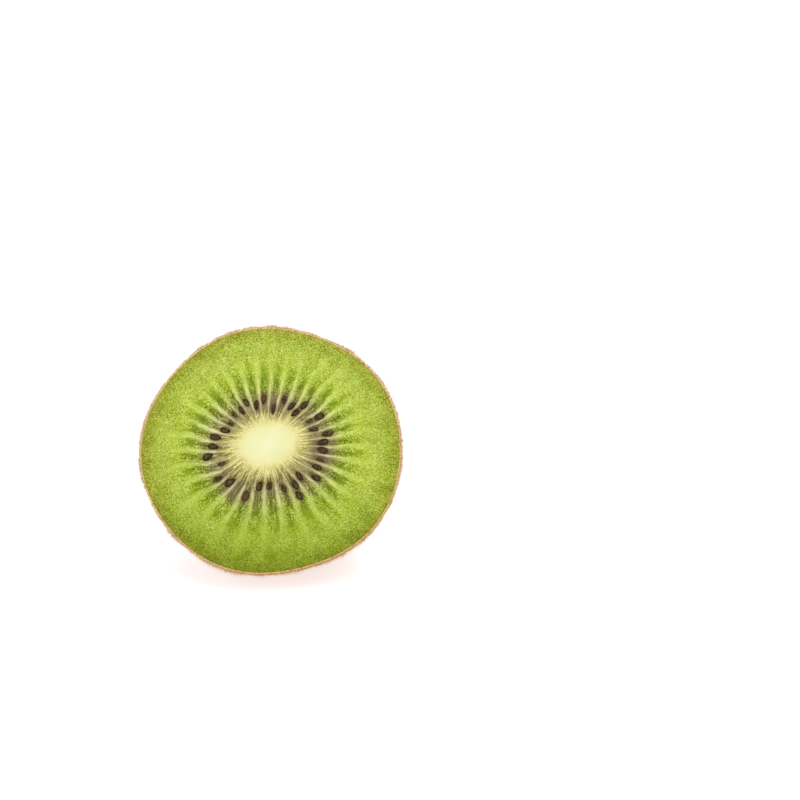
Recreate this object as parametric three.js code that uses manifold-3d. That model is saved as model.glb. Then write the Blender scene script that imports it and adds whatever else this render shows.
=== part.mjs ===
// A ripe kiwi fruit cut across its middle. The half lies on its round side, on a small flat spot,
// and its cut face leans back. It is one solid: seeds and dried flower cup are grown into the flesh.
//
// Everything is shaped in the face's own frame, in millimetres: the cut plane is z = 0, x runs to the
// right, y up the face and z out of it, so the fruit hangs below z = 0 down to its flower end.

import * as THREE from "three";
import { mergeVertices } from "three/addons/utils/BufferGeometryUtils.js";
import Module from "manifold-3d";

const wasm = await Module();
wasm.setup();

const FULL_TURN = 2 * Math.PI;
const { degToRad, smoothstep, euclideanModulo } = THREE.MathUtils;

// The cut outline is an oval that is a little turned, and a few soft lobes make it uneven. Each lobe wave
// is [how many lobes it has, their height as a share of the radius, its phase in degrees].
const FACE_RADIUS = 24.87;
const FACE_OVALNESS = 0.0276;
const FACE_TURN = degToRad(7.3);
const LOBE_WAVES = [[3, 0.0059, 145.4], [5, 0.0084, -83.1]];

// The barrel runs from the cut down to the flower end as a slightly squared quarter round.
const BARREL_LENGTH = 33.2;
const BARREL_BULGE = 2.12;
const BARREL_RINGS = 12;
const SECTORS = 132;

// How the half lies: the face leans back by this much, and the spot it rests on is this deep.
const FACE_LEAN = degToRad(27);
const REST_DEPTH = 0.7;

// The pale core sits a little above the middle of the face and stands up as a low dome.
const CORE_X = -0.77;
const CORE_Y = 1.26;
const CORE_SHARE = 0.24;
const CORE_DOME = 0.45;

// Shares of the way from the core's middle to the outline, at which the face has a ring of points.
const FACE_SHARES = [0, 0.1, 0.17, 0.22, 0.27, 0.33, 0.4, 0.48, 0.58, 0.7, 0.82, 0.92, 0.97, 1];

// The locules are the cells that hold the seeds, and a pale ray stands between each two of them.
const LOCULES = 33;
const RAY_RISE = 0.22;
const RAY_SHARPNESS = 3;
const SEED_BED_SHARE = 0.39;
const SEED_BED_WIDTH = 0.13;
const SEED_BED_DEPTH = 0.3;
const EDGE_DROP = 0.2;
const PEEL_LIP = 0.25;

// Seeds lie along the rays, half sunk in the flesh, one to a locule and two in the paired ones. Those of
// the near locules lie a step nearer to the core than their neighbours, and those of the far ones a step
// further out.
const SEED_LENGTH = 2.3;
const SEED_WIDTH = 1.45;
const SEED_THICKNESS = 1.1;
const SEED_TAPER = 0.22;
const SEED_RISE = 0.12;
const SEED_MEAN_SHARE = 0.388;
const SEED_STEP = 0.045;
const NEAR_LOCULES = [1, 7, 13, 14, 18, 23, 24, 27];
const FAR_LOCULES = [0, 6, 8, 10, 17, 19, 22, 26, 28];
const PAIRED_LOCULES = [2, 4, 26];
const EMPTY_LOCULES = [3, 21];

// The dried flower cup: a woody stub ringed by papery flaps that curl away from the skin.
const STUB_RADIUS = 2.3;
const STUB_HEIGHT = 2.2;
const STUB_SIDES = 14;
const FLAPS = 6;
const FLAP_REACH = 4.9;
const FLAP_WIDTH = 4.6;
const FLAP_THICKNESS = 0.9;
const FLAP_CURL = 2.4;

const CORE = new THREE.Vector2(CORE_X, CORE_Y);

/** A sum of sines, each given as [how often it repeats in a turn, its height, its phase in degrees]. */
function waves(angle, terms) {
  return terms.reduce((sum, [times, height, phase]) => {
    return sum + height * Math.sin(times * angle + degToRad(phase));
  }, 0);
}

/** A bell of height 1 at middle, falling to about a third at one width from it. */
function bell(x, middle, width) {
  return Math.exp(-(((x - middle) / width) ** 2));
}

/** A fixed draw between -1 and 1 that is spread evenly over counting numbers. */
function draw(count, step, start) {
  return 2 * euclideanModulo(count * step + start, 1) - 1;
}

/** The outline's point at a turn about the middle of the face. Lobes fade as lobeShare goes to 0. */
function outlinePoint(turn, lobeShare = 1) {
  const oval = FACE_OVALNESS * Math.cos(2 * (turn - FACE_TURN));
  const radius = FACE_RADIUS * (1 + oval + lobeShare * waves(turn, LOBE_WAVES));
  return new THREE.Vector2(Math.cos(turn), Math.sin(turn)).multiplyScalar(radius);
}

/** How many rays lie between angle 0 and this angle about the core. Rays lean a little near it. */
function rayCount(angle, share) {
  const lean = 0.065 + waves(angle, [[1, 0.212, -114], [2, 0.141, 163], [3, 0.134, -162]]);
  const spread = waves(angle, [[1, 0.562, -58], [2, 0.265, -7.5]]);
  const inner = smoothstep(0.65 - share, 0, 0.25);
  return (LOCULES * angle) / FULL_TURN - 0.34 + spread - lean * inner;
}

/** The angle about the core at which rayCount reaches a count. */
function rayAngle(count, share) {
  let angle = (count * FULL_TURN) / LOCULES;
  for (let pass = 0; pass < 8; pass += 1) {
    angle += ((count - rayCount(angle, share)) * FULL_TURN) / LOCULES;
  }
  return angle;
}

/** The point of the face at an angle about the core and a share of the way to the outline. */
function facePoint(angle, share) {
  let turn = angle;
  let edge = outlinePoint(turn).sub(CORE);
  for (let pass = 0; pass < 8; pass += 1) {
    turn += Math.sin(angle - edge.angle());
    edge = outlinePoint(turn).sub(CORE);
  }
  return edge.multiplyScalar(share).add(CORE);
}

/** How far the face stands out of the cut plane: domed core, sunken seed bed, rays and peel lip. */
function faceHeight(angle, share) {
  const ray = (0.5 + 0.5 * Math.cos(FULL_TURN * rayCount(angle, share))) ** RAY_SHARPNESS;
  const rayReach = smoothstep(share, 0.22, 0.34) * (1 - smoothstep(share, 0.6, 0.88));
  return (
    CORE_DOME * (1 - smoothstep(share, 0.35 * CORE_SHARE, 1.25 * CORE_SHARE)) -
    SEED_BED_DEPTH * bell(share, SEED_BED_SHARE, SEED_BED_WIDTH) +
    RAY_RISE * ray * rayReach -
    EDGE_DROP * smoothstep(share, 0.75, 0.97) +
    PEEL_LIP * smoothstep(share, 0.97, 1)
  );
}

/** The fruit without its seeds: a lathe form pulled into the oval, with the cut face's relief. */
function fruitGeometry() {
  const faceRings = FACE_SHARES.length - 1;
  const rings = faceRings + BARREL_RINGS;
  const profile = Array.from({ length: rings + 1 }, (_, ring) => new THREE.Vector2(1, ring));
  const geometry = new THREE.LatheGeometry(profile, SECTORS);
  const { position, uv } = geometry.attributes;
  for (let index = 0; index < position.count; index += 1) {
    const turn = (Math.round(uv.getX(index) * SECTORS) % SECTORS) * (FULL_TURN / SECTORS);
    const ring = rings - Math.round(uv.getY(index) * rings);
    if (ring <= faceRings) {
      const share = FACE_SHARES[ring];
      const edge = outlinePoint(turn).sub(CORE);
      const height = faceHeight(edge.angle(), share);
      edge.multiplyScalar(share).add(CORE);
      position.setXYZ(index, edge.x, edge.y, height);
    } else {
      const down = ((ring - faceRings) / BARREL_RINGS) * (Math.PI / 2);
      const depth = Math.sin(down) ** (2 / BARREL_BULGE);
      const girth = ring === rings ? 0 : Math.cos(down) ** (2 / BARREL_BULGE);
      const point = outlinePoint(turn, 1 - depth).multiplyScalar(girth);
      position.setXYZ(index, point.x, point.y, -BARREL_LENGTH * depth);
    }
  }
  return geometry;
}

/** How many steps a locule's seeds lie further out than those of most locules. */
function seedSteps(count) {
  if (FAR_LOCULES.includes(count)) {
    return 1;
  }
  return NEAR_LOCULES.includes(count) ? -1 : 0;
}

/** A seed lying along its locule, rounder at the outer end. A side of -1 or 1 is one of a pair. */
function seedGeometry(count, side) {
  const angleOfSeed = rayAngle(count + 0.5, SEED_MEAN_SHARE);
  const ripple = waves(angleOfSeed, [[1, 0.0116, -155.9], [2, 0.0347, 71]]);
  const share = SEED_MEAN_SHARE + ripple + SEED_STEP * (seedSteps(count) + side);
  const rays = count + 0.5 + 0.14 * draw(count, 0.825, 0.25) - 0.1 * side;
  const angle = rayAngle(rays, share);
  const size = 1 + 0.1 * draw(count + 0.25 * side, 0.414, 0.7);
  const geometry = new THREE.IcosahedronGeometry(0.5, 1);
  const { position } = geometry.attributes;
  for (let index = 0; index < position.count; index += 1) {
    position.setY(index, position.getY(index) * (1 + 2 * SEED_TAPER * position.getX(index)));
  }
  geometry.scale(SEED_LENGTH * size, SEED_WIDTH * size, SEED_THICKNESS * size);
  geometry.rotateZ(angle + 0.3 * draw(count + 0.25 * side, 0.732, 0.45));
  const middle = facePoint(angle, share);
  return geometry.translate(middle.x, middle.y, faceHeight(angle, share) + SEED_RISE);
}

/** The woody stub in the middle of the flower cup, hollowed a little at its end. */
function stubGeometry() {
  const profile = [
    new THREE.Vector2(0, -0.7 * STUB_HEIGHT),
    new THREE.Vector2(0.72 * STUB_RADIUS, -STUB_HEIGHT),
    new THREE.Vector2(0.92 * STUB_RADIUS, -0.5 * STUB_HEIGHT),
    new THREE.Vector2(STUB_RADIUS, 1.4),
    new THREE.Vector2(0, 1.4),
  ];
  const stub = new THREE.LatheGeometry(profile, STUB_SIDES);
  return stub.rotateX(Math.PI / 2).translate(0, 0, -BARREL_LENGTH);
}

/** One papery flap, cut from a curled band and narrowed towards its tip. */
function flapGeometry(count) {
  const reach = FLAP_REACH * (1 + 0.12 * draw(count, 0.618, 0.2));
  const curl = FLAP_CURL * (1 + 0.25 * draw(count, 0.414, 0.6));
  const band = new THREE.Shape();
  band.moveTo(1, -0.9);
  band.quadraticCurveTo(0.75 * reach, -0.6, reach, curl);
  band.lineTo(reach - 0.6 * FLAP_THICKNESS, curl + 0.6 * FLAP_THICKNESS);
  band.quadraticCurveTo(0.6 * reach, 0.9 * FLAP_THICKNESS, 1, 0.6 * FLAP_THICKNESS);
  band.closePath();
  const geometry = new THREE.ExtrudeGeometry(band, {
    depth: FLAP_WIDTH,
    bevelEnabled: false,
    curveSegments: 5,
  });
  geometry.translate(0, 0, -FLAP_WIDTH / 2);
  const { position } = geometry.attributes;
  for (let index = 0; index < position.count; index += 1) {
    const out = position.getX(index) / reach;
    position.setZ(index, position.getZ(index) * (0.75 + 0.75 * out - 0.95 * out ** 3));
  }
  const turn = ((count + 0.2 * draw(count, 0.732, 0.15)) * FULL_TURN) / FLAPS;
  return geometry.rotateX(-Math.PI / 2).rotateZ(turn).translate(0, 0, -BARREL_LENGTH);
}

/** The space below the floor, seen from the leaning face's frame. */
function floorGeometry(height) {
  const side = 200;
  return new THREE.BoxGeometry(side, side, side)
    .translate(0, 0, height - side / 2)
    .rotateX(FACE_LEAN - Math.PI / 2);
}

/** A closed geometry as a solid that can be joined and cut. */
function solidOf(geometry) {
  const plain = geometry.clone();
  plain.deleteAttribute("normal");
  plain.deleteAttribute("uv");
  const merged = mergeVertices(plain);
  const corners = Array.from(merged.index.array);
  const triVerts = [];
  for (let first = 0; first < corners.length; first += 3) {
    const [a, b, c] = corners.slice(first, first + 3);
    if (a !== b && b !== c && c !== a) {
      triVerts.push(a, b, c);
    }
  }
  return new wasm.Manifold(
    new wasm.Mesh({
      numProp: 3,
      vertProperties: Float32Array.from(merged.attributes.position.array),
      triVerts: Uint32Array.from(triVerts),
    }),
  );
}

/** A solid's surface as a geometry. */
function geometryOf(solid) {
  const { vertProperties, triVerts } = solid.getMesh();
  const geometry = new THREE.BufferGeometry();
  geometry.setAttribute("position", new THREE.BufferAttribute(vertProperties, 3));
  geometry.setIndex(new THREE.BufferAttribute(triVerts, 1));
  geometry.computeVertexNormals();
  return geometry;
}

/** The height of the lowest point of the fruit below the middle of its leaning face. */
function lowestPoint(geometry) {
  const standing = geometry.clone().rotateX(Math.PI / 2 - FACE_LEAN);
  standing.computeBoundingBox();
  return standing.boundingBox.min.z;
}

const fruit = fruitGeometry();
const filled = Array.from({ length: LOCULES }, (_, count) => count).filter((count) => {
  return !EMPTY_LOCULES.includes(count);
});
const additions = [
  ...filled.flatMap((count) => {
    const sides = PAIRED_LOCULES.includes(count) ? [-1, 1] : [0];
    return sides.map((side) => seedGeometry(count, side));
  }),
  stubGeometry(),
  ...Array.from({ length: FLAPS }, (_, count) => flapGeometry(count)),
];
const joined = additions.reduce((solid, addition) => solid.add(solidOf(addition)), solidOf(fruit));
const trimmed = joined.subtract(solidOf(floorGeometry(lowestPoint(fruit) + REST_DEPTH)));

const kiwiHalf = new THREE.Mesh(
  geometryOf(trimmed),
  new THREE.MeshStandardMaterial({ color: 0xa6bd48, roughness: 0.45, metalness: 0 }),
);
kiwiHalf.name = "kiwi_half";
kiwiHalf.rotation.x = Math.PI / 2 - FACE_LEAN;

const standingBox = new THREE.Box3().setFromObject(kiwiHalf, true);
const middle = standingBox.getCenter(new THREE.Vector3());
kiwiHalf.position.set(-middle.x, -middle.y, -standingBox.min.z);

const kiwi = new THREE.Group();
kiwi.add(kiwiHalf);

export default kiwi;
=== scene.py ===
"""A ripe kiwi fruit half, cut across its middle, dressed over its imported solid.

Sizes are in millimetres, and shapes are made in the face's own frame: the cut plane is z = 0, x runs to
the right on the cut face, y up it and z out of it, so the fruit hangs below z = 0 down to its flower end.
FruitForm.stand() turns such points into the row frame, in metres. Places on the cut face are told by the
share of the way from the core's middle (0) to the outline (1), and by the count of rays passed.
"""

import itertools
import logging
import math
from dataclasses import dataclass, field
from enum import Enum, auto

import bpy
import numpy as np
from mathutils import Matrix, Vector


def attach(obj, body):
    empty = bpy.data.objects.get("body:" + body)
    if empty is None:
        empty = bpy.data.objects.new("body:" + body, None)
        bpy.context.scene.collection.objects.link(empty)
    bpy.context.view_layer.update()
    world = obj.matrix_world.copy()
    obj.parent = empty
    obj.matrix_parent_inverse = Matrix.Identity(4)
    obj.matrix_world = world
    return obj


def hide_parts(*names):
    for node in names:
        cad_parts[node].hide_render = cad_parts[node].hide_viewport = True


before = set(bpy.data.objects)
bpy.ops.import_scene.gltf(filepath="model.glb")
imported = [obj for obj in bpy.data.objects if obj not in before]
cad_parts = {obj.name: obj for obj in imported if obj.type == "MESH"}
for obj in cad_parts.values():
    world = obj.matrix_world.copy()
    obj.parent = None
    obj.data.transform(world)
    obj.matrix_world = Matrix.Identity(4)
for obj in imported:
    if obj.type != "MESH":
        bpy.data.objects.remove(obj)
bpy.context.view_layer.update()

LOG = logging.getLogger("kiwi_half")
NODE = "kiwi_half"
BODY = "root"

MM = 0.001
FULL_TURN = 2.0 * math.pi
QUARTER_TURN = 0.25 * FULL_TURN
GOLDEN_TURN = math.pi * (3.0 - math.sqrt(5.0))
SOLVER_ROUNDS = 8
HASH_FACTORS = np.array([374761393, 668265263, 2147483647])
HASH_MIXER = 1274126177
HASH_MASK = 0xFFFF
LAYER_SHIFT = 31.7

Array = np.ndarray
Piece = bpy.types.Object
Material = bpy.types.Material
Colour = tuple[float, float, float, float]
Stops = tuple[tuple[float, Colour], ...]
Range = tuple[float, float]
Band = tuple[Range, Range]  # a range to rise over and a later one to fall over
Waves = tuple[tuple[int, float, float], ...]  # repeats in a turn, height, phase in degrees
Layers = tuple[tuple[float, float, int], ...]  # height, cells in a millimetre, number of the noise
Spots = tuple[tuple[float, float, float], ...]  # x, y, radius
Numbers = tuple[int, ...]
Pair = tuple[Array, Array]
Shape = tuple[Array, list[list[int]]]


# Numbers and point sets


def smooth_step(value: Array, low: float, high: float) -> Array:
    """Ease a value from 0 at low to 1 at high."""
    share = np.clip((value - low) / (high - low), 0.0, 1.0)
    return share * share * (3.0 - 2.0 * share)


def window(value: Array, rise: Range, fall: Range) -> Array:
    """Ease from 0 to 1 over one range and back to 0 over a later one."""
    return smooth_step(value, *rise) * (1.0 - smooth_step(value, *fall))


def bell(value: Array | float, middle: float, width: float) -> Array | float:
    """Return a bell curve of height 1 around a middle value."""
    return np.exp(-(((value - middle) / width) ** 2))


def draw(count: Array | int, step: float, start: float) -> Array | float:
    """Return a fixed draw between -1 and 1 that is spread evenly over counting numbers."""
    return 2.0 * np.mod(count * step + start, 1.0) - 1.0


def sine_sum(angle: Array, waves: Waves) -> Array:
    """Add up waves at an angle."""
    return sum(height * np.sin(times * angle + math.radians(phase)) for times, height, phase in waves)


def lattice_value(cells: Array) -> Array:
    """Look up the fixed value of cells of space.

    Args:
        cells: The cells' whole numbers, with the three of a cell last.

    Returns:
        A value between -1 and 1 for each cell.
    """
    mixed = cells @ HASH_FACTORS
    mixed = (mixed ^ (mixed >> 13)) * HASH_MIXER
    mixed = mixed ^ (mixed >> 16)
    return (mixed & HASH_MASK) / (0.5 * HASH_MASK) - 1.0


def soft_noise(points: Array, per_mm: float, layer: int) -> Array:
    """Return smooth lattice noise.

    Args:
        points: Points in millimetres, with the three coordinates last.
        per_mm: How many lattice cells lie in a millimetre.
        layer: Picks one of many unlike noises.

    Returns:
        A value between -1 and 1 for each point.
    """
    spots = points * per_mm + LAYER_SHIFT * (layer + 1)
    cells = np.floor(spots).astype(np.int64)
    eased = smooth_step(spots - cells, 0.0, 1.0)
    total = np.zeros(points.shape[:-1])
    for corner in itertools.product((0, 1), repeat=3):
        weights = np.where(np.array(corner) == 1, eased, 1.0 - eased)
        total += weights.prod(axis=-1) * lattice_value(cells + np.array(corner))
    return total


def noise_sum(points: Array, layers: Layers) -> Array:
    """Add up layers of smooth noise at points."""
    return sum(height * soft_noise(points, per_mm, layer) for height, per_mm, layer in layers)


def points_of(x: Array | float, y: Array | float, z: Array | float) -> Array:
    """Join coordinates to points."""
    return np.stack(np.broadcast_arrays(x, y, z), axis=-1)


def unit(vectors: Array) -> Array:
    """Return the vectors at length 1."""
    return vectors / np.maximum(np.linalg.norm(vectors, axis=-1, keepdims=True), 1e-12)


def swing(start: Array, towards: Array, angle: Array) -> Array:
    """Turn directions by an angle towards others at right angles to them."""
    return start * np.cos(angle)[..., None] + towards * np.sin(angle)[..., None]


def turned_about_z(points: Array, angle: float) -> Array:
    """Turn points about z, against the clock."""
    cosine, sine = math.cos(angle), math.sin(angle)
    return points @ np.array([[cosine, sine, 0.0], [-sine, cosine, 0.0], [0.0, 0.0, 1.0]])


def turns(count: int, again: int = 0) -> Array:
    """Share a full turn evenly, with as many angles more as come again."""
    return np.arange(count + again) * FULL_TURN / count


def shares(count: int) -> Array:
    """Return the shares between 0 and 1 that cut a length in equal parts, without both ends."""
    return np.arange(1, count) / count


def lathe(radius: Array, height: Array, sides: int) -> Array:
    """Turn a profile about z into rings of points."""
    turn, radius = turns(sides), radius[:, None]
    return points_of(radius * np.cos(turn), radius * np.sin(turn), height[:, None])


# Shader expressions


class Field:
    """A socket in an expression: numbers go through Math nodes, colours and vectors through Vector Math."""

    def __init__(self, bench: "Bench", socket: bpy.types.NodeSocket | None) -> None:
        """Wrap a socket of the bench's node tree."""
        self.bench = bench
        self.socket = socket

    def __add__(self, other: "Value") -> "Field":
        """Add."""
        return self.bench.calculate("ADD", self, other)

    __radd__ = __add__

    def __mul__(self, other: "Value") -> "Field":
        """Multiply."""
        return self.bench.calculate("MULTIPLY", self, other)

    __rmul__ = __mul__

    def __sub__(self, other: "Value") -> "Field":
        """Subtract."""
        return self.bench.calculate("SUBTRACT", self, other)

    def __rsub__(self, other: "Value") -> "Field":
        """Subtract from something else."""
        return self.bench.calculate("SUBTRACT", other, self)

    def __pow__(self, other: "Value") -> "Field":
        """Raise to a power."""
        return self.bench.calculate("POWER", self, other)

    def cosine(self) -> "Field":
        """Take the cosine."""
        return self.bench.calculate("COSINE", self)

    def floor(self) -> "Field":
        """Round down."""
        return self.bench.calculate("FLOOR", self)

    def ease(self, start: float, end: float) -> "Field":
        """Ease from 0 where the value is start to 1 where it is end, which may be the lower one."""
        limits = {"Value": self, "From Min": start, "From Max": end}
        return self.bench.node("ShaderNodeMapRange", {"interpolation_type": "SMOOTHSTEP"}, limits)

    def window(self, rise: Range, fall: Range) -> "Field":
        """Ease from 0 to 1 over one range and back to 0 over a later one."""
        return self.ease(*rise) * (1.0 - self.ease(*fall))


Value = Field | float | tuple[float, ...]


class Bench:
    """Makes the nodes of one material."""

    def __init__(self, name: str) -> None:
        """Start a material with an empty node tree.

        Args:
            name: The material's name.
        """
        self.material = bpy.data.materials.new(name)
        self.material.use_nodes = True
        self.tree = self.material.node_tree
        self.tree.nodes.clear()

    @staticmethod
    def find(sockets: bpy.types.bpy_prop_collection, name: str | int) -> bpy.types.NodeSocket:
        """Find a socket by its place, its name or its identifier."""
        named = (socket for socket in sockets if name in (socket.identifier, socket.name))
        return sockets[name] if isinstance(name, int) else next(named)

    def node(
        self,
        kind: str,
        settings: dict[str, object] | None = None,
        inputs: dict[str | int, Value] | None = None,
        output: str | int = 0,
    ) -> Field:
        """Make a node.

        Args:
            kind: The node's Blender type.
            settings: The node's own properties, set first. stops fills a colour ramp.
            inputs: Values or links of its sockets.
            output: The output that is handed back.

        Returns:
            That output, or a field without a socket where the node has no outputs.
        """
        made = self.tree.nodes.new(kind)
        for name, value in (settings or {}).items():
            if name == "stops":
                self.fill_ramp(made.color_ramp, value)
            else:
                setattr(made, name, value)
        for name, value in (inputs or {}).items():
            socket = self.find(made.inputs, name)
            if isinstance(value, Field):
                self.tree.links.new(value.socket, socket)
            else:
                socket.default_value = value
        return Field(self, self.find(made.outputs, output) if made.outputs else None)

    @staticmethod
    def fill_ramp(ramp: bpy.types.ColorRamp, stops: Stops) -> None:
        """Set a new colour ramp's stops.

        Args:
            ramp: The ramp.
            stops: Each stop's position and colour.
        """
        while len(ramp.elements) < len(stops):
            ramp.elements.new(1.0)
        for element, (position, colour) in zip(ramp.elements, stops):
            element.position = position
            element.color = colour

    def calculate(self, operation: str, *parts: Value) -> Field:
        """Make a Math node, or a Vector Math node where a part is a colour or vector.

        Args:
            operation: The operation, which both kinds of node name alike.
            parts: The sockets and numbers that go in.

        Returns:
            The result.
        """
        kinds = {part.socket.type if isinstance(part, Field) else type(part) for part in parts}
        if kinds <= {"VALUE", float}:
            return self.node("ShaderNodeMath", {"operation": operation}, dict(enumerate(parts)))
        wide = [(part,) * 3 if isinstance(part, float) else part for part in parts]
        return self.node("ShaderNodeVectorMath", {"operation": operation}, dict(enumerate(wide)))

    def blend(self, share: Field, first: Value, second: Value) -> Field:
        """Mix two colours: all first where share is 0, all second where it is 1."""
        inputs = {"Factor_Float": share, "A_Color": first, "B_Color": second}
        return self.node("ShaderNodeMix", {"data_type": "RGBA"}, inputs, "Result_Color")

    def ramp(self, value: Field, stops: Stops) -> Field:
        """Look a value up in a colour ramp."""
        return self.node("ShaderNodeValToRGB", {"stops": stops}, {"Fac": value})

    def vector(self, x: Value, y: Value, z: Value) -> Field:
        """Join three values to a vector."""
        return self.node("ShaderNodeCombineXYZ", None, {"X": x, "Y": y, "Z": z})

    def noise(self, place: Field, scale: float, detail: float = 2.0, roughness: float = 0.5) -> Field:
        """Make noise between 0 and 1 at a place."""
        inputs = {"Vector": place, "Scale": scale, "Detail": detail, "Roughness": roughness}
        return self.node("ShaderNodeTexNoise", None, inputs)

    def cells(self, place: Field, scale: float) -> Field:
        """Make the distance to the nearest of scattered points."""
        return self.node("ShaderNodeTexVoronoi", None, {"Vector": place, "Scale": scale}, "Distance")

    def place_in_mm(self) -> Field:
        """Give the place on the object in millimetres."""
        return self.node("ShaderNodeTexCoord", None, None, "Object") * (1.0 / MM)

    def height_in_mm(self) -> Field:
        """Give the height above the floor in millimetres."""
        return self.node("ShaderNodeSeparateXYZ", None, {0: self.place_in_mm()}, "Z")

    def map_place(self, name: str) -> tuple[Field, ...]:
        """Give the two coordinates of a named map on the mesh."""
        place = self.node("ShaderNodeUVMap", {"uv_map": name})
        return tuple(self.node("ShaderNodeSeparateXYZ", None, {0: place}, axis) for axis in "XY")

    def measure(self, name: str) -> Field:
        """Give a value that is stored on the mesh."""
        return self.node("ShaderNodeAttribute", {"attribute_name": name}, None, "Fac")

    def bump(self, height: Field, depth_mm: float, strength: float) -> Field:
        """Turn a height between 0 and 1 into a normal, for relief of that depth."""
        inputs = {"Height": height, "Distance": depth_mm * MM, "Strength": strength}
        return self.node("ShaderNodeBump", None, inputs)

    def surface(self, inputs: dict[str, Value]) -> Material:
        """End the material in a Principled shader.

        Args:
            inputs: Values or links of the shader's sockets.

        Returns:
            The material.
        """
        shader = self.node("ShaderNodeBsdfPrincipled", None, inputs)
        self.node("ShaderNodeOutputMaterial", None, {"Surface": shader})
        return self.material


# The fruit's form


@dataclass(frozen=True)
class FruitForm:
    """The oval barrel that flesh, peel and hair share."""

    radius: float = 24.87
    ovalness: float = 0.0276
    turned: float = math.radians(7.3)
    lobes: Waves = ((3, 0.0059, 145.4), (5, 0.0084, -83.1))
    length: float = 33.2
    bulge: float = 2.12
    lean: float = math.radians(27.0)
    core: Range = (-0.77, 1.26)
    face_middle: tuple[float, float, float] = (0.1241, -11.5944, 26.0453)

    def axes(self) -> Array:
        """Return the face frame's x, y and z directions in the row frame, as rows."""
        sine, cosine = math.sin(self.lean), math.cos(self.lean)
        return np.array([[1.0, 0.0, 0.0], [0.0, sine, cosine], [0.0, -cosine, sine]])

    def stand(self, points: Array, floor: float = 0.0) -> Array:
        """Stand points up in the row frame, in metres, with none below a floor in millimetres."""
        placed = points @ self.axes() + np.array(self.face_middle)
        return np.maximum(placed, [-np.inf, -np.inf, floor]) * MM

    def outline(self, turn: Array, lobe_share: Array | float = 1.0) -> Array:
        """Return the outline's points about the middle of the face.

        Args:
            turn: Angles about the middle of the face.
            lobe_share: How much of the lobes shows, from 0 to 1.

        Returns:
            The points' x and y.
        """
        oval = self.ovalness * np.cos(2.0 * (turn - self.turned))
        reach = self.radius * (1.0 + oval + lobe_share * sine_sum(turn, self.lobes))
        return np.stack([reach * np.cos(turn), reach * np.sin(turn)], axis=-1)

    def barrel(self, turn: Array, down: Array, inset: Array | float = 0.0) -> Pair:
        """Return points of the round side and the directions that point out of it.

        Args:
            turn: Angles about the fruit's axis.
            down: From 0 at the cut to a quarter turn at the flower end.
            inset: How far below the skin's outside the points lie.

        Returns:
            The points and their outward directions.
        """
        depth = np.sin(down) ** (2.0 / self.bulge)
        girth = np.maximum(np.cos(down), 0.0) ** (2.0 / self.bulge)
        edge = self.outline(turn, 1.0 - depth)
        aside = girth ** (self.bulge - 1.0) / np.linalg.norm(edge, axis=-1)
        below = depth ** (self.bulge - 1.0) / self.length
        out = unit(points_of(aside * np.cos(turn), aside * np.sin(turn), -below))
        side = edge * girth[..., None]
        return points_of(side[..., 0], side[..., 1], -self.length * depth) - inset * out, out


@dataclass(frozen=True)
class Locules:
    """The cells round the core that hold the seeds, with a pale ray between each two of them."""

    form: FruitForm
    count: int = 33
    first_ray: float = -0.34
    spread: Waves = ((1, 0.562, -58.0), (2, 0.265, -7.5))
    mean_lean: float = 0.065
    lean: Waves = ((1, 0.212, -114.0), (2, 0.141, 163.0), (3, 0.134, -162.0))
    lean_ends: Range = (0.4, 0.65)
    ripple: Waves = ((1, 0.0116, -155.9), (2, 0.0347, 71.0))
    ripple_band: Band = ((0.22, 0.36), (0.44, 0.75))
    seed_share: float = 0.388
    seed_step: float = 0.045
    core_wide: float = 6.4
    core_tall: float = 4.75
    core_turned: float = math.radians(16.0)
    core_zone: float = 0.215
    core_band: Band = ((0.0, 0.19), (0.23, 0.4))

    def rays_before(self, angle: Array, share: Array) -> Array:
        """Count the rays up to an angle about the core, as a number with a fraction.

        Args:
            angle: Angles about the core.
            share: Shares of the way to the outline.

        Returns:
            The counts: whole numbers lie on rays, and halves in the middle of locules.
        """
        even = self.count * angle / FULL_TURN + self.first_ray
        lean = (self.mean_lean + sine_sum(angle, self.lean)) * (1.0 - smooth_step(share, *self.lean_ends))
        return even + sine_sum(angle, self.spread) - lean

    def angle_of(self, rays: Array, share: Array) -> Array:
        """Find where a count of rays is reached.

        Args:
            rays: Counts of rays.
            share: Shares of the way to the outline.

        Returns:
            The angles about the core.
        """
        angle = rays * FULL_TURN / self.count
        for _ in range(SOLVER_ROUNDS):
            angle = angle + (rays - self.rays_before(angle, share)) * FULL_TURN / self.count
        return angle

    def zone(self, angle: Array, share: Array, edge_reach: Array) -> Array:
        """Bend the shares so that core, seed ring and pulp each keep their own value all the way round.

        Args:
            angle: Angles about the core.
            share: Shares of the way to the outline.
            edge_reach: How far the outline is from the core's middle at those angles.

        Returns:
            The bent shares: the core ends at core_zone, and the seeds' middles lie at seed_share.
        """
        along = angle - self.core_turned
        across = np.hypot(self.core_tall * np.cos(along), self.core_wide * np.sin(along))
        core_shift = self.core_zone - self.core_wide * self.core_tall / across / edge_reach
        seed_shift = sine_sum(angle, self.ripple) * window(share, *self.ripple_band)
        return share + core_shift * window(share, *self.core_band) - seed_shift

    def face_points(self, angle: Array, share: Array) -> Array:
        """Find points of the cut.

        Args:
            angle: Angles about the core.
            share: Shares of the way to the outline.

        Returns:
            The points' x and y.
        """
        core = np.array(self.form.core)
        turn = angle
        for _ in range(SOLVER_ROUNDS):
            edge = self.form.outline(turn) - core
            turn = turn + np.sin(angle - np.arctan2(edge[..., 1], edge[..., 0]))
        return core + (self.form.outline(turn) - core) * share[..., None]


@dataclass(frozen=True)
class SeedPlaces:
    """Where each seed lies on the cut, how it is turned and sized, how deep it lies and how red it is."""

    spots: Array
    heading: Array
    size: Array
    girth: Array
    depth: Array
    redness: Array


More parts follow.
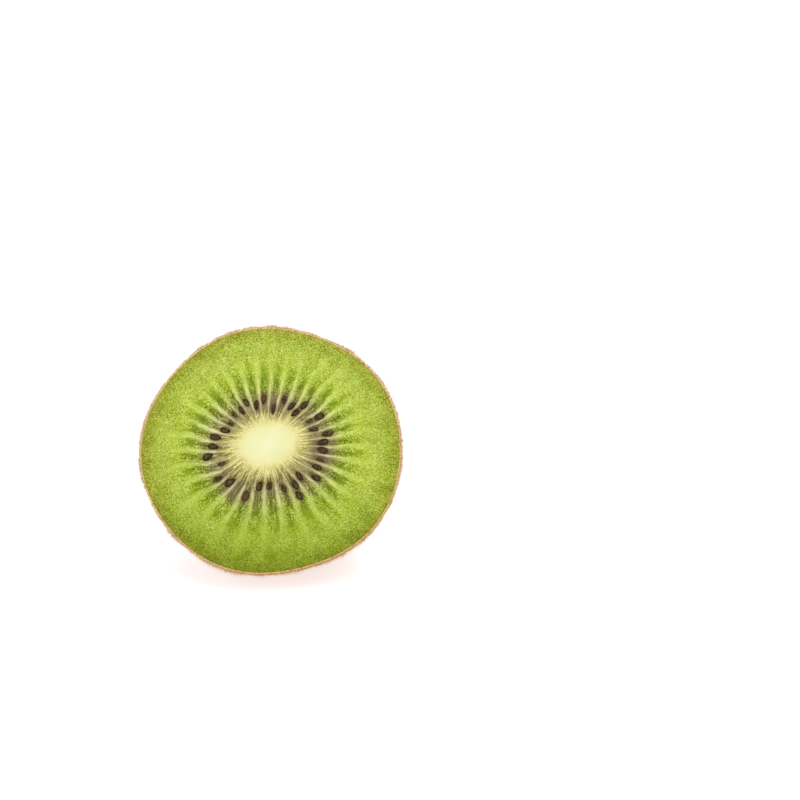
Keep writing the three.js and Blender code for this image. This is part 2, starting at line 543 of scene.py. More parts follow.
@dataclass
class CutFace:
    """The cut face's relief, its stained and clear spots, and the places of its seeds."""

    form: FruitForm
    locules: Locules
    core_dome: float = 0.45
    core_slope: Range = (0.08, 0.29)
    ray_rise: float = 0.2
    ray_sharpness: int = 3
    ray_band: Band = ((0.22, 0.32), (0.55, 0.88))
    bed_depth: float = 0.3
    bed_share: float = 0.39
    bed_width: float = 0.13
    edge_drop: float = 0.22
    edge_slope: Range = (0.75, 0.97)
    grain: Layers = ((0.05, 1.6, 3), (0.035, 3.1, 4))
    core_grain: float = 0.25
    grain_slope: Range = (0.2, 0.45)
    waviness: Layers = ((0.12, 0.14, 5),)
    cell_depth: float = 0.14
    cell_edge: float = 0.35
    near_locules: Numbers = (1, 7, 13, 14, 18, 23, 24, 27)
    far_locules: Numbers = (0, 6, 8, 10, 17, 19, 22, 26, 28)
    paired_locules: Numbers = (2, 4, 26)
    empty_locules: Numbers = (3, 21)
    deep_locules: Numbers = (2, 6, 10, 12, 13, 18, 19, 24, 29, 30)
    slim_locules: Numbers = (0, 1, 5, 7, 9, 11, 19, 25, 27, 30)
    red_locules: Numbers = (8, 22)
    pair_shift: float = 0.1
    pair_draw: float = 0.25
    slim_girth: float = 0.66
    outer_depth: float = 0.3
    deep_depth: float = 1.05
    shade_length: float = 1.2
    shade_width: float = 0.7
    shade_least: float = 0.55
    shade_by_depth: float = 0.35
    juice_spots: Spots = ((-7.6, -9.2, 3.3), (10.0, -0.4, 4.4), (0.3, 9.2, 3.1))
    clear_spots: Spots = ((-7.4, 7.2, 3.6), (-10.6, 1.4, 2.6))
    spot_edge: Layers = ((0.5, 0.5, 8),)
    seeds: SeedPlaces = field(init=False)

    def __post_init__(self) -> None:
        """Lay out the seeds, one to a locule and two in some, at unlike distances from the core."""
        locules = self.locules
        singles = np.array([n for n in range(locules.count) if n not in self.empty_locules])
        number = np.concatenate([singles, self.paired_locules])
        outer = np.arange(len(number)) >= len(singles)
        side = np.where(outer, 1.0, -1.0 * np.isin(number, self.paired_locules))
        steps = np.isin(number, self.far_locules) * 1.0 - np.isin(number, self.near_locules) + side
        middle = locules.angle_of(number + 0.5, np.full(len(number), locules.seed_share))
        share = locules.seed_share + sine_sum(middle, locules.ripple) + locules.seed_step * steps
        seat = 0.5 + 0.14 * draw(number, 0.825, 0.25) - self.pair_shift * side
        angle = locules.angle_of(number + seat, share)
        own = number + self.pair_draw * side
        deep = np.isin(number, self.deep_locules) * (self.deep_depth + 0.2 * draw(number, 0.618, 0.4))
        slim = np.where(np.isin(number, self.slim_locules), self.slim_girth, 1.0)
        self.seeds = SeedPlaces(
            spots=locules.face_points(angle, share),
            heading=angle + 0.3 * draw(own, 0.732, 0.45),
            size=1.0 + 0.1 * draw(own, 0.414, 0.7),
            girth=slim + 0.06 * draw(number, 0.279, 0.2),
            depth=np.where(outer, self.outer_depth, deep),
            redness=np.isin(number, self.red_locules) * 1.0,
        )

    def seed_shade(self, points: Array) -> Array:
        """Return the painted shade round each seed, and the dark of seeds seen under the flesh, at each
        point.

        Args:
            points: Points of the face, with x and y first.

        Returns:
            The shade at each point, from 0 to 1.
        """
        shade = np.zeros(points.shape[:-1])
        for spot, heading, depth in zip(self.seeds.spots, self.seeds.heading, self.seeds.depth):
            aside, ahead = points[..., 0] - spot[0], points[..., 1] - spot[1]
            along = aside * math.cos(heading) + ahead * math.sin(heading)
            across = ahead * math.cos(heading) - aside * math.sin(heading)
            strength = self.shade_least + self.shade_by_depth * depth
            reach = np.hypot(along / self.shade_length, across / self.shade_width)
            shade = np.maximum(shade, strength * bell(reach, 0.0, 1.0))
        return shade

    def cover(self, points: Array, spots: Spots) -> Array:
        """Return how far each point lies in ragged spots: 0 outside them, and 1 in the middle of one."""
        reach = [np.hypot(points[..., 0] - x, points[..., 1] - y) / radius for x, y, radius in spots]
        return bell(np.min(reach, axis=0) * (1.0 + noise_sum(points, self.spot_edge)), 0.0, 1.0)

    def height(self, points: Array, rays: Array, share: Array, zone: Array, shade: Array) -> Array:
        """Return how far the face stands out of the cut plane.

        Args:
            points: Points of the cut plane.
            rays: Counts of rays at the points.
            share: Shares of the way to the outline.
            zone: The same shares, rippled as the seed ring is.
            shade: How much a seed darkens each point.

        Returns:
            The heights.
        """
        ray = (0.5 + 0.5 * np.cos(FULL_TURN * rays)) ** self.ray_sharpness
        grown = self.core_grain + (1.0 - self.core_grain) * smooth_step(zone, *self.grain_slope)
        return (
            self.core_dome * (1.0 - smooth_step(zone, *self.core_slope))
            - self.bed_depth * bell(zone, self.bed_share, self.bed_width)
            + self.ray_rise * ray * window(zone, *self.ray_band)
            - self.edge_drop * smooth_step(share, *self.edge_slope)
            + noise_sum(points, self.grain) * grown
            + noise_sum(points, self.waviness)
            - self.cell_depth * (1.0 - bell(shade, 0.0, self.cell_edge))
        )


# Meshes


def mesh_object(name: str, points: Array, faces: list[list[int]], smooth: bool = True) -> Piece:
    """Make a mesh object and put it in the scene.

    Args:
        name: The piece's name.
        points: Its points in metres in the row frame.
        faces: Each face's point numbers, seen from outside against the clock.
        smooth: Whether it is shaded smooth.

    Returns:
        The object.
    """
    mesh = bpy.data.meshes.new(name)
    mesh.from_pydata(points.tolist(), [], faces)
    mesh.polygons.foreach_set("use_smooth", [smooth] * len(mesh.polygons))
    mesh.update()
    piece = bpy.data.objects.new(name, mesh)
    bpy.context.scene.collection.objects.link(piece)
    return piece


def store(piece: Piece, name: str, values: Array) -> None:
    """Store one number for each point of a piece."""
    attribute = piece.data.attributes.new(name, "FLOAT", "POINT")
    attribute.data.foreach_set("value", values.astype(np.float32).ravel())


def join(shapes: list[Shape]) -> Shape:
    """Join shapes to one.

    Args:
        shapes: Each shape's points and faces.

    Returns:
        The points and faces of all.
    """
    points, faces, base = [], [], 0
    for own_points, own_faces in shapes:
        points.append(own_points)
        faces += [[base + corner for corner in face] for face in own_faces]
        base += len(own_points)
    return np.concatenate(points), faces


def ring_faces(rings: int, sectors: int) -> list[list[int]]:
    """Give the faces of a closed skin of rings, with a point at each end.

    Args:
        rings: How many rings there are between the two end points.
        sectors: How many points each ring has.

    Returns:
        The faces. Point 0 is the first end, then come the rings, and the last point is the other end.
    """
    number = 1 + np.arange(rings * sectors).reshape(rings, sectors)
    after = np.roll(number, -1, axis=1)
    quads = np.stack([number[:-1], number[1:], after[1:], after[:-1]], axis=-1).reshape(-1, 4)
    start = np.stack([np.zeros(sectors, int), number[0], after[0]], axis=-1)
    end = np.stack([number[-1], np.full(sectors, rings * sectors + 1), after[-1]], axis=-1)
    return start.tolist() + quads.tolist() + end.tolist()


def ring_map(piece: Piece, name: str, across: Array, along: Array) -> None:
    """Store a map with two coordinates on a skin of rings, with its seam left whole.

    Args:
        piece: The object, made with ring_faces.
        name: The map's name.
        across: The first coordinate for each ring and sector, with one more column than there are sectors.
        along: The second coordinate, alike.
    """
    grid = np.stack(np.broadcast_arrays(across, along), axis=-1)
    low, high = grid[:, :-1], grid[:, 1:]
    quads = np.stack([low[:-1], low[1:], high[1:], high[:-1]], axis=2).reshape(-1, 2)
    start = np.stack([0.5 * (low[0] + high[0]) * [1, 0], low[0], high[0]], axis=1).reshape(-1, 2)
    end = np.stack([low[-1], 0.5 * (low[-1] + high[-1]), high[-1]], axis=1).reshape(-1, 2)
    layer = piece.data.uv_layers.new(name=name)
    layer.data.foreach_set("uv", np.concatenate([start, quads, end]).astype(np.float32).ravel())


def place_piece(piece: Piece, material: Material) -> Piece:
    """Dress a piece and fix it to the frame, in place of the plain solid.

    Args:
        piece: The piece.
        material: Its material.

    Returns:
        The piece.
    """
    piece.data.materials.append(material)
    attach(piece, BODY)
    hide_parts(NODE)
    return piece


# Finishes


def tone(*parts: int) -> Colour:
    """Turn a screen colour into the linear colour that shaders take.

    Args:
        parts: Red, green and blue, from 0 to 255.

    Returns:
        The linear colour, opaque.
    """
    share = np.array(parts) / 255.0
    linear = np.where(share <= 0.04045, share / 12.92, ((share + 0.055) / 1.055) ** 2.4)
    return (*linear.tolist(), 1.0)


def tones(*rows: tuple[float, int, int, int]) -> Stops:
    """Turn rows of a position and a screen colour into the stops of a colour ramp."""
    return tuple((position, tone(*parts)) for position, *parts in rows)


@dataclass(frozen=True)
class Streaks:
    """Noise that is drawn out over a map: how often it changes each way, its number and its detail."""

    across: float
    along: float
    layer: float
    detail: float = 2.0
    roughness: float = 0.5

    def on(self, bench: Bench, across: Field, along: Field) -> Field:
        """Draw the noise on a map, between 0 and 1."""
        place = bench.vector(across * self.across, along * self.along, self.layer)
        return bench.noise(place, 1.0, self.detail, self.roughness)


@dataclass(frozen=True)
class CutTexture:
    """The maps of the cut and the noises on it, which lie around 0."""

    bench: Bench
    rays: Field
    zone: Field
    between: Field
    place: Field
    grain: Field
    pips: Field
    fibres: Field


@dataclass(frozen=True)
class Stain:
    """A stain between the rays: its streaks, where they and the gap set in, its zones and its strength."""

    streaks: Streaks
    sets_in: Range
    gap: Range
    band: Band
    strength: float

    def share(self, cut: CutTexture) -> Field:
        """Give how much of the stain shows."""
        spots = self.streaks.on(cut.bench, cut.rays, cut.zone).ease(*self.sets_in)
        return spots * cut.between.ease(*self.gap) * cut.zone.window(*self.band) * self.strength


@dataclass(frozen=True)
class FleshFinish:
    """Moist green flesh: cream core, fibres and dark haze round the seeds, pale rays and grainy pulp.

    Each zone from the core's middle to the peel has a dark, a middle and a bright colour, and rays, fibres
    and grain pick between them. Painted shade round each seed and towards the floor, and painted glints of
    the wet surface, are laid over them.
    """

    dark_stops: Stops = tones(
        (0.0, 229, 226, 176), (0.14, 222, 214, 148), (0.2, 188, 176, 104), (0.25, 142, 126, 64),
        (0.3, 116, 99, 46), (0.38, 104, 92, 40), (0.45, 90, 90, 20), (0.52, 74, 84, 0), (0.6, 84, 100, 0),
        (0.68, 110, 129, 0), (0.76, 124, 141, 24), (0.85, 114, 132, 22), (0.94, 96, 110, 8),
        (1.0, 106, 104, 8),
    )
    middle_stops: Stops = tones(
        (0.0, 231, 230, 186), (0.13, 229, 225, 172), (0.18, 225, 218, 153), (0.22, 211, 201, 128),
        (0.26, 186, 174, 104), (0.31, 168, 155, 90), (0.36, 160, 150, 100), (0.42, 156, 152, 82),
        (0.48, 146, 155, 34), (0.56, 142, 159, 0), (0.66, 157, 175, 0), (0.73, 171, 187, 50),
        (0.82, 170, 185, 60), (0.91, 157, 171, 44), (1.0, 154, 152, 46),
    )
    bright_stops: Stops = tones(
        (0.0, 234, 234, 192), (0.2, 235, 229, 168), (0.25, 228, 219, 150), (0.31, 212, 202, 142),
        (0.38, 200, 192, 132), (0.45, 194, 196, 112), (0.55, 192, 207, 100), (0.68, 207, 222, 132),
        (0.82, 206, 221, 124), (0.92, 194, 208, 100), (1.0, 200, 194, 96),
    )
    ray_stops: Stops = tones(
        (0.2, 238, 230, 164), (0.3, 220, 212, 150), (0.38, 226, 222, 178), (0.46, 218, 220, 152),
        (0.56, 208, 220, 112), (0.7, 208, 221, 104), (0.9, 199, 213, 90),
    )
    violet: Colour = tone(98, 86, 58)
    spring_green: Colour = tone(118, 145, 0)
    moss_green: Colour = tone(92, 112, 0)
    streak_brown: Colour = tone(68, 55, 22)
    juice: Colour = tone(122, 98, 76)
    under_seed: Colour = tone(62, 46, 18)
    # Painted glints: pale dots that stand for the sparkle of the wet surface.
    painted_glint: Colour = tone(252, 248, 200)
    core_edge: Range = (0.15, 0.27)
    pulp_edge: Range = (0.34, 0.58)
    fibres: Streaks = Streaks(5.0, 6.0, 0.0, 3.0, 0.62)
    fibre_band: Band = ((0.15, 0.24), (0.45, 0.8))
    hairlines: Streaks = Streaks(7.5, 14.0, 2.0, 2.0, 0.65)
    hairline_band: Band = ((0.15, 0.22), (0.45, 0.7))
    pip_band: Band = ((0.3, 0.4), (0.56, 0.72))
    smoke: Stain = Stain(
        Streaks(3.6, 10.0, 3.0, 3.0, 0.66), (0.34, 0.56), (0.1, 0.8), ((0.25, 0.34), (0.42, 0.58)), 0.52
    )
    brown_streaks: Stain = Stain(
        Streaks(6.0, 3.5, 11.0, 2.0, 0.6), (0.48, 0.64), (0.05, 0.6), ((0.23, 0.27), (0.42, 0.58)), 0.56
    )
    green_pools: Stain = Stain(
        Streaks(1.1, 8.0, 5.0), (0.45, 0.62), (0.3, 0.8), ((0.48, 0.56), (0.6, 0.74)), 0.9
    )
    # Where the painted glints lie: by the core's edge and, fewer, in the seed ring.
    core_glint_band: Band = ((0.16, 0.21), (0.25, 0.32))
    ring_glint_band: Band = ((0.3, 0.4), (0.5, 0.75))
    ragged_rays: Streaks = Streaks(1.7, 12.0, 9.0)
    patchy_rays: Streaks = Streaks(1.3, 9.0, 0.0)
    # Painted shade: each row darkens red, green and blue by these shares as the height in millimetres falls
    # over its range.
    painted_shade_below: tuple[tuple[tuple[float, ...], Range], ...] = (
        ((0.36, 0.3, 0.68), (23.0, 3.0)),
        ((0.16, 0.13, 0.5), (7.0, 2.5)),
    )

    def make(self) -> Material:
        """Build the material.

        Returns:
            The material.
        """
        bench = Bench("moist_flesh")
        cut = self.texture(bench)
        light = self.light(cut)
        dark, middle, bright, pale = (
            bench.ramp(cut.zone, stops)
            for stops in (self.dark_stops, self.middle_stops, self.bright_stops, self.ray_stops)
        )
        colour = bench.blend(light.ease(-0.05, 0.55), dark, middle)
        colour = bench.blend(light.ease(0.45, 1.1), colour, bright)
        clear = 1.0 - bench.measure("clear")
        colour = bench.blend(self.smoke.share(cut) * light.ease(1.4, 0.4) * clear, colour, self.violet)
        colour = bench.blend(bench.measure("juice") * (cut.fibres + cut.grain + 0.8), colour, self.juice)
        colour = bench.blend(self.brown_streaks.share(cut) * clear, colour, self.streak_brown)
        green = bench.blend(cut.zone.ease(0.54, 0.62), self.moss_green, self.spring_green)
        colour = bench.blend(self.green_pools.share(cut), colour, green)
        ray = self.ray_share(cut) * (cut.fibres * 0.9 + cut.grain * 1.2 + 0.9)
        colour = bench.blend(ray, colour, pale)
        # Painted shade round each seed, together with the dark of seeds that lie under the flesh.
        colour = bench.blend(bench.measure("seed_shade") * 0.75, colour, self.under_seed)
        # Painted glints of the wet surface, dotted by the core's edge and thinly over the seed ring.
        glint_spots = (0.24 - bench.cells(cut.place + 7.0, 1.5)).ease(0.0, 0.1)
        glint_share = cut.zone.window(*self.core_glint_band) * 0.6 + cut.zone.window(*self.ring_glint_band) * 0.14
        colour = bench.blend(glint_spots * glint_share, colour, self.painted_glint)
        height = bench.height_in_mm()
        # Painted shade: the flesh turns darker towards the floor.
        for depth, heights in self.painted_shade_below:
            colour = colour * (1.0 - height.ease(*heights) * depth)
        relief = cut.grain + cut.pips * 0.5 + cut.fibres * cut.zone.ease(*self.core_edge) * 0.8
        inputs = {
            "Base Color": colour,
            "Roughness": 0.4 + cut.grain * 0.5,
            "Normal": bench.bump(relief, 0.12, 0.8),
            "IOR": 1.31,
            "Specular Tint": (1.0, 0.98, 0.45, 1.0),
            "Subsurface Weight": 0.2,
            "Subsurface Radius": (1.0, 1.1, 0.35),
            "Subsurface Scale": 0.5 * MM,
            "Coat Weight": 0.07,
            "Coat Roughness": 0.22,
        }
        return bench.surface(inputs)

    def texture(self, bench: Bench) -> CutTexture:
        """Draw the maps of the cut and the noises on it.

        Args:
            bench: The material's bench.

        Returns:
            The maps and noises.
        """
        rays, zone = bench.map_place("cut")
        place = bench.place_in_mm()
        coarse = bench.noise(place + 40.0, 0.5).ease(0.35, 0.65) * 0.6 + 0.7
        return CutTexture(
            bench=bench,
            rays=rays,
            zone=zone,
            between=0.5 - (rays * FULL_TURN).cosine() * 0.5,
            place=place,
            grain=(bench.noise(place, 5.0, 2.0, 0.7) - 0.5) * coarse,
            pips=0.42 - bench.cells(place, 3.4),
            fibres=self.fibres.on(bench, rays, zone) - 0.5,
        )

    def light(self, cut: CutTexture) -> Field:
        """Add up what makes the flesh paler or darker.

        Args:
            cut: The cut's maps and noises.

        Returns:
            About 0 where it is darkest, and 1 where it is palest.
        """
        zone, past_core, pulp = cut.zone, cut.zone.ease(*self.core_edge), cut.zone.ease(*self.pulp_edge)
        hairlines = self.hairlines.on(cut.bench, cut.rays, zone) - 0.5
        light = (cut.bench.noise(cut.place, 0.34) - 0.5) * 0.65 + 0.52
        light = light + cut.fibres * (zone.window(*self.fibre_band) * 2.0 + 0.5)
        light = light + hairlines * zone.window(*self.hairline_band) * 3.0
        light = light + cut.grain * (past_core * 1.5 + pulp * 1.7)
        return light + cut.pips * (past_core * 0.5 + pulp * 0.3 + zone.window(*self.pip_band) * 0.7)

    def ray_share(self, cut: CutTexture) -> Field:
        """Draw the pale rays: fine near the core and broader and softer further out.

        Args:
            cut: The cut's maps and noises.

        Returns:
            How much of a ray's own colour shows at each place.
        """
        bench, rays, zone = cut.bench, cut.rays, cut.zone
        ragged = self.ragged_rays.on(bench, rays, zone) - 0.5
        wave = ((rays + ragged * 0.12) * FULL_TURN).cosine() * 0.5 + 0.5
        strand = wave ** ((1.0 - zone.ease(0.28, 0.58)) * 5.0 + 1.9)
        number = {"W": (rays + 0.5).floor()}
        strength = bench.node("ShaderNodeTexWhiteNoise", {"noise_dimensions": "1D"}, number, "Value")
        patchy = self.patchy_rays.on(bench, rays, zone).ease(0.3, 0.6) * 0.35 + 0.65
        inner = zone.ease(0.2, 0.27) * (strength * 0.6 + 0.15)
        outer = zone.ease(0.33, 0.43) * (0.85 - strength * 0.6)
        reach = (inner + outer) * (1.0 - (zone + strength * 0.14).ease(0.6, 1.0))
        return strand * (strength * 0.4 + 0.65) * patchy * reach


@dataclass(frozen=True)
class SeedFinish:
    """Moist mottled seed coat, dark brown with a lighter crown, a few seeds redder."""

    dark: Colour = tone(30, 16, 0)
    light: Colour = tone(102, 78, 50)
    red: Colour = tone(98, 60, 46)

    def make(self) -> Material:
        """Build the material.

        Returns:
            The material.
        """
        bench = Bench("seed_coat")
        place = bench.place_in_mm()
        mottle = bench.noise(place, 3.0, 3.0, 0.7)
        crown = bench.measure("crown").ease(0.35, 1.0)
        colour = bench.blend(mottle.ease(0.4, 0.62) * (crown * 0.85 + 0.15), self.dark, self.light)
        colour = bench.blend(bench.measure("redness") * (crown * 0.45 + 0.25), colour, self.red)
        inputs = {
            "Base Color": colour,
            "Roughness": 0.36 + mottle * 0.25,
            "Normal": bench.bump(bench.cells(place, 6.0), 0.04, 0.6),
            "IOR": 1.27,
            "Specular Tint": (1.0, 0.9, 0.6, 1.0),
        }
        return bench.surface(inputs)


@dataclass(frozen=True)
class PeelFinish:
    """Dry mottled rust-brown peel, golden where it meets the cut, with a paler tan edge where it is cut."""

    brown: Colour = tone(186, 112, 78)
    dark: Colour = tone(112, 56, 32)
    light: Colour = tone(236, 172, 138)
    orange: Colour = tone(216, 138, 92)
    edge: Colour = tone(244, 222, 146)
    gold: Colour = tone(228, 168, 100)
    edge_green: Colour = tone(172, 168, 66)
    edge_brown: Colour = tone(158, 104, 48)
    strands: Streaks = Streaks(420.0, 52.0, 4.0, 2.0, 0.6)
    speckle_edge: Range = (0.48, 0.61)

    def make(self) -> Material:
        """Build the material.

        Returns:
            The material.
        """
        bench = Bench("brown_peel")
        round_share, down = bench.map_place("skin")
        place = bench.place_in_mm()
        patches = bench.noise(place, 0.14, 3.0, 0.6)
        strands = self.strands.on(bench, round_share, down)
        speckle = bench.noise(place, 3.2, 3.0, 0.72) * 0.45 + strands * 0.55
        colour = bench.blend(speckle.ease(*self.speckle_edge), self.brown, self.light)
        colour = bench.blend((1.0 - speckle).ease(*self.speckle_edge), colour, self.dark)
        colour = bench.blend(down.ease(0.72, 0.92) * 0.5, colour, self.orange)
        colour = colour * (0.66 + patches * 0.68)
        golden = (1.0 - down.ease(0.0, 0.022)) * patches.ease(0.3, 0.55)
        colour = bench.blend(golden, colour, self.gold)
        cut = bench.blend(down.ease(-1.0, -0.6), self.edge_green, self.edge)
        browned = bench.noise(place, 4.2, 2.0, 0.7).ease(0.46, 0.6) * 0.9
        cut = bench.blend(browned, cut, self.edge_brown)
        inputs = {
            "Base Color": bench.blend(down.ease(-0.05, 0.05), cut, colour),
            "Roughness": 0.76 + speckle * 0.2,
            "Normal": bench.bump(speckle, 0.16, 0.8),
            "Specular IOR Level": 0.3,
        }
        return bench.surface(inputs)


@dataclass(frozen=True)
class HairFinish:
    """Dry hair of one even colour."""

    name: str
    colour: Colour

    def make(self) -> Material:
        """Build the material."""
        inputs = {"Base Color": self.colour, "Roughness": 0.6, "Specular IOR Level": 0.3}
        return Bench(self.name).surface(inputs)


@dataclass(frozen=True)
class CupFinish:
    """Dried flower cup: pale papery flaps and a dark woody stub."""

    pale: Colour = tone(232, 196, 166)
    brown: Colour = tone(190, 134, 98)
    dark: Colour = tone(104, 54, 26)

    def make(self) -> Material:
        """Build the material.

        Returns:
            The material.
        """
        bench = Bench("dried_cup")
        place = bench.place_in_mm()
        veins = bench.noise(place, 2.4, 4.0, 0.7)
        blot = bench.noise(place, 0.9, 3.0)
        colour = bench.blend(veins.ease(0.4, 0.6), self.brown, self.pale)
        age = bench.measure("age") + blot * 0.8 - 0.4 + (veins - 0.5) * 0.5
        colour = bench.blend(age.ease(0.1, 0.8), colour, self.dark)
        inputs = {
            "Base Color": colour,
            "Roughness": 0.8 + blot * 0.1,
            "Normal": bench.bump(veins, 0.12, 0.8),
        }
        return bench.surface(inputs)


@dataclass(frozen=True)
class FloorFinish:
    """Plain white matte sheet that is lit a little from below."""

    white: Colour = (0.84, 0.84, 0.84, 1.0)
    glow: Colour = (0.87, 0.97, 1.0, 1.0)
    glow_strength: float = 0.65

    def make(self) -> Material:
        """Build the material.

        Returns:
            The material.
        """
        inputs = {
            "Base Color": self.white,
            "Roughness": 0.9,
            "Specular IOR Level": 0.1,
            "Emission Color": self.glow,
            "Emission Strength": self.glow_strength,
        }
        return Bench("white_sheet").surface(inputs)


# Sub-assemblies


@dataclass
class Flesh:
    """The fruit inside its peel, with the cut face's relief."""

    face: CutFace
    peel_inset: float = 0.22
    sectors: int = 528
    face_rings: int = 150
    side_rings: int = 14
    core_bunching: float = 0.75
    ray_wobble: Layers = ((0.08, 0.21, 1), (0.035, 0.7, 2))
    zone_wobble: Layers = ((0.012, 0.33, 6), (0.008, 0.9, 7))
    wobble_band: Band = ((0.03, 0.2), (0.85, 0.97))
    stain_band: Band = ((0.26, 0.34), (0.44, 0.54))

    def build(self) -> Piece:
        """Build and dress the flesh.

        Returns:
            The piece.
        """
        face, form, locules = self.face, self.face.form, self.face.locules
        turn = turns(self.sectors, 1)
        edge = form.outline(turn) - np.array(form.core)
        angle = np.unwrap(np.arctan2(edge[:, 1], edge[:, 0]))
        edge_reach = np.linalg.norm(edge, axis=-1)
        step = (np.arange(1, self.face_rings + 1) / self.face_rings) ** self.core_bunching
        share = step[:, None] * (1.0 - self.peel_inset / edge_reach)
        flat = points_of(form.core[0] + edge[:, 0] * share, form.core[1] + edge[:, 1] * share, 0.0)
        rays = locules.rays_before(angle, share) + noise_sum(flat, self.ray_wobble)
        wobble = window(share, *self.wobble_band) * noise_sum(flat, self.zone_wobble)
        zone = locules.zone(angle, share, edge_reach) + wobble
        # Painted shade round each seed with the dark of buried seeds; it also dents the flesh round them.
        shade = face.seed_shade(flat)
        height = face.height(flat, rays, share, zone, shade)
        rings = points_of(flat[..., 0], flat[..., 1], height)
        side, _ = form.barrel(turn, QUARTER_TURN * shares(self.side_rings)[:, None], self.peel_inset)
        middle = [[*form.core, height[0].mean()]]
        far_end = [[0.0, 0.0, self.peel_inset - form.length]]
        skin = np.concatenate([rings, side])[:, :-1].reshape(-1, 3)
        points = form.stand(np.concatenate([middle, skin, far_end]), self.peel_inset)
        faces = ring_faces(self.face_rings + self.side_rings - 1, self.sectors)
        piece = mesh_object("flesh", points, faces)
        side_rays = np.repeat(rays[-1:], self.side_rings - 1, axis=0)
        side_zone = np.ones(side_rays.shape)
        ring_map(piece, "cut", np.concatenate([rays, side_rays]), np.concatenate([zone, side_zone]))
        bed = window(zone, *self.stain_band)
        marks = {
            "seed_shade": shade,
            "juice": bed * face.cover(flat, face.juice_spots),
            "clear": bed * face.cover(flat, face.clear_spots),
        }
        for name, mark in marks.items():
            rest = np.zeros(len(points) - 1 - mark[:, :-1].size)
            store(piece, name, np.concatenate([[0.0], mark[:, :-1].ravel(), rest]))
        return place_piece(piece, FleshFinish().make())


@dataclass
class Seeds:
    """The seeds that lie on the cut, each an egg shape with a small point at its inner end."""

    face: CutFace
    length: float = 2.08
    width: float = 1.18
    thickness: float = 0.9
    taper: float = 0.22
    taper_power: float = 1.2
    point: float = 1.08
    unevenness: float = 0.03
    sink: float = 0.36
    mean_reach: float = 24.5
    rings: int = 16
    sides: int = 24

    def build(self) -> Piece:
        """Build and dress the seeds.

        Returns:
            The piece.
        """
        places = self.face.seeds
        down = math.pi * shares(self.rings)
        body = lathe(np.sin(down), np.cos(down), self.sides)[..., [2, 0, 1]].reshape(-1, 3)
        egg = np.concatenate([[[1.0, 0.0, 0.0]], body, [[-self.point, 0.0, 0.0]]])
        egg[:, 1:] *= (1.0 + self.taper * egg[:, :1]) ** self.taper_power
        skin = ring_faces(self.rings - 1, self.sides)
        shapes = []
        for number, (x, y) in enumerate(places.spots):
            width = self.width * places.girth[number]
            size = 0.5 * places.size[number] * np.array([self.length, width, self.thickness])
            dents = self.unevenness * soft_noise(egg + 9.0 * number, 1.4, number)
            seed = turned_about_z(egg * size * (1.0 + dents)[:, None], places.heading[number])
            shapes.append((seed + [x, y, self.ground(x, y) - self.sink * places.depth[number]], skin))
        points, faces = join(shapes)
        piece = mesh_object("seeds", self.face.form.stand(points), faces)
        store(piece, "redness", np.repeat(places.redness, len(egg)))
        store(piece, "crown", np.tile(egg[:, 2], len(shapes)))
        return place_piece(piece, SeedFinish().make())

    def ground(self, x: float, y: float) -> float:
        """Return the height of the seed bed at a seed's middle."""
        share = math.hypot(x - self.face.form.core[0], y - self.face.form.core[1]) / self.mean_reach
        return -self.face.bed_depth * bell(share, self.face.bed_share, self.face.bed_width)


@dataclass
class Peel:
    """The thin brown skin: a shell with a rounded cut edge and faint dents."""

    form: FruitForm
    thickness: float = 0.27
    edge_rise: float = 0.04
    edge_fall: float = 0.14
    edge_insets: tuple[float, ...] = (1.0, 0.97, 0.8, 0.5, 0.2, 0.03, 0.0)
    edge_heights: tuple[float, ...] = (-0.5, -0.14, 0.0, 0.1, 0.06, -0.12, -0.5)
    dents: Layers = ((0.144, 0.13, 11), (0.056, 0.45, 12), (0.0448, 1.3, 13))
    dents_from: Range = (0.0, 0.12)
    lift: float = 0.8
    sectors: int = 360
    outer_rings: int = 130
    outer_bunching: float = 1.15
    inner_rings: int = 12

    def outside(self, turn: Array, down: Array) -> Pair:
        """Find points of the skin's outside, dents included.

        Args:
            turn: Angles about the fruit's axis.
            down: From 0 at the cut to a quarter turn at the flower end.

        Returns:
            The points and their outward directions.
        """
        points, out = self.form.barrel(turn, down)
        dent = noise_sum(points, self.dents) * smooth_step(down, *self.dents_from)
        return points + out * dent[..., None], out

    def build(self) -> Piece:
        """Build and dress the peel, from its far end inside over the cut edge to its far end outside.

        Returns:
            The piece.
        """
        turn = turns(self.sectors, 1)
        inner_down = QUARTER_TURN * (1.0 - shares(self.inner_rings))
        inner, _ = self.form.barrel(turn, inner_down[:, None], self.thickness)
        outer_share = shares(self.outer_rings) ** self.outer_bunching
        outer, _ = self.outside(turn, QUARTER_TURN * outer_share[:, None])
        inset = np.array(self.edge_insets)
        edge, _ = self.form.barrel(turn, 0.0 * inset[:, None], self.thickness * inset[:, None, None])
        height = self.thickness * (np.array(self.edge_heights) + self.edge_rise) - self.edge_fall * inset
        edge[..., 2] = height[:, None]
        rings = np.concatenate([inner, edge, outer])
        inner_end = [[0.0, 0.0, self.thickness - self.form.length]]
        outer_end, _ = self.outside(np.zeros(1), np.full(1, QUARTER_TURN))
        points = np.concatenate([inner_end, rings[:, :-1].reshape(-1, 3), outer_end])
        points = self.form.stand(points)
        inside = points[: 1 + self.sectors * (len(inner) + len(inset) // 2)]
        inside[:, 2] = np.maximum(inside[:, 2], self.lift * self.thickness * MM)
        piece = mesh_object("peel", points, ring_faces(len(rings), self.sectors))
        down = np.concatenate([-np.ones(len(inner)), -inset, outer_share])
        ring_map(piece, "skin", turn / FULL_TURN, down[:, None])
        return place_piece(piece, PeelFinish().make())


class HairPlace(Enum):
    """Where hair grows."""

    SKIN = auto()
    CUT_EDGE = auto()
    FLOWER_CUP = auto()


@dataclass(frozen=True)
class HairSort:
    """One sort of hair: its draws' seed, its number, its sizes in millimetres and its lie in radians."""

    seed: int
    count: int
    lengths: Range
    radius: float
    tilts: Range
    stray: float
    colour: Colour
    place: HairPlace = HairPlace.SKIN


